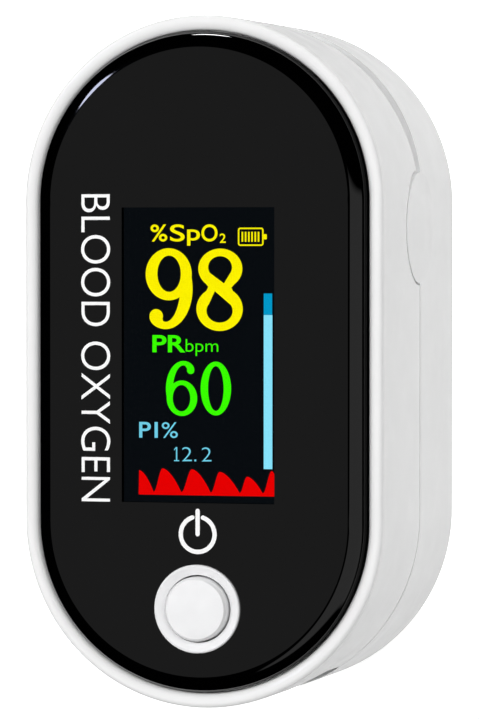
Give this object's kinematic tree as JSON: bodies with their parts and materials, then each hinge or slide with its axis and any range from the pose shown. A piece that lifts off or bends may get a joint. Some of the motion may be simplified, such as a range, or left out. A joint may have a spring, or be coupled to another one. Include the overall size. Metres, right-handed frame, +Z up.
{
  "type": "fingertip pulse oximeter",
  "caption": "White clip-on fingertip pulse oximeter with a domed black lens over a portrait colour display, a round button, a sprung hinge and a sliding battery door.",
  "frame": {"origin": "on the resting plane, under the middle of the closed body", "axes": "+Z up through the display, +Y towards the hinge end, -Y towards the finger mouth, +X to the right seen from above with the hinge end away"},
  "size_m": [0.0342, 0.0624, 0.0318],
  "materials": {
    "shell_white": "white high-gloss moulded ABS",
    "button_white": "white satin-gloss moulded ABS",
    "lens_black": "clear acrylic printed black behind, polished, clear over the display",
    "inner_white": "white moulded ABS, fine matt",
    "silicone_dark": "dark grey soft silicone, matt",
    "pin_steel": "bright steel",
    "spring_steel": "bright spring wire",
    "battery_wrap": "metal can in a printed plastic sleeve",
    "nickel_plate": "nickel plate",
    "board_green": "green solder mask on glass epoxy",
    "clear_epoxy": "clear cast epoxy",
    "flex_amber": "amber polyimide film with copper tracks",
    "lead_red": "red wire insulation",
    "lead_black": "black wire insulation",
    "gasket_black": "matt black foam and thermoplastic",
    "chip_black": "matt black chip moulding",
    "display_panel": "black emissive colour display panel"
  },
  "bodies": {
    "lower_half": {"lower_shell": "shell_white", "lower_cradle": "inner_white", "lower_finger_pad": "silicone_dark", "hinge_pin": "pin_steel", "torsion_spring_right": "spring_steel", "torsion_spring_left": "spring_steel", "battery_left": "battery_wrap", "battery_right": "battery_wrap", "battery_link_contact": "nickel_plate", "positive_contact": "nickel_plate", "negative_contact": "nickel_plate", "front_contact_spring": "nickel_plate", "rear_contact_spring": "nickel_plate", "detector_board": "board_green", "photodiode": "clear_epoxy", "flex_cable": "flex_amber", "battery_lead_right": "lead_red", "battery_lead_left": "lead_black", "lower_screw_front_left": "pin_steel", "lower_screw_front_right": "pin_steel", "lower_screw_rear_left": "pin_steel", "lower_screw_rear_right": "pin_steel"},
    "upper_half": {"upper_shell": "shell_white", "face_lens": "lens_black", "lens_adhesive": "gasket_black", "button_ring": "button_white", "display_module": "display_panel", "display_frame": "gasket_black", "main_board": "board_green", "processor_chip": "chip_black", "analog_chip": "chip_black", "crystal": "nickel_plate", "tact_switch": "gasket_black", "upper_cradle": "inner_white", "upper_finger_pad": "silicone_dark", "emitter_board": "board_green", "emitter_led": "clear_epoxy", "upper_screw_front_left": "pin_steel", "upper_screw_front_right": "pin_steel", "upper_screw_rear_left": "pin_steel", "upper_screw_rear_right": "pin_steel"},
    "power_button": {"button_cap": "button_white", "switch_plunger": "gasket_black"},
    "battery_door": {"battery_door": "shell_white"}
  },
  "joints": [
    {"name": "clip_hinge", "type": "hinge", "parent": "lower_half", "child": "upper_half", "pos_m": [0, 0.0121, 0.0155], "axis": [-1, 0, 0], "range_deg": [0, 12.5], "stiffness_Nm_per_rad": 0.1, "springref_deg": -20.05, "deforming": ["torsion_spring_right", "torsion_spring_left", "flex_cable", "battery_lead_right", "battery_lead_left"]},
    {"name": "button_press", "type": "slide", "parent": "upper_half", "child": "power_button", "axis": [0, 0, -1], "range_m": [0, 0.0004], "stiffness_N_per_m": 800, "springref_m": -0.0004},
    {"name": "battery_door_slide", "type": "slide", "parent": "lower_half", "child": "battery_door", "axis": [0, 1, 0], "range_m": [0, 0.054]}
  ]
}
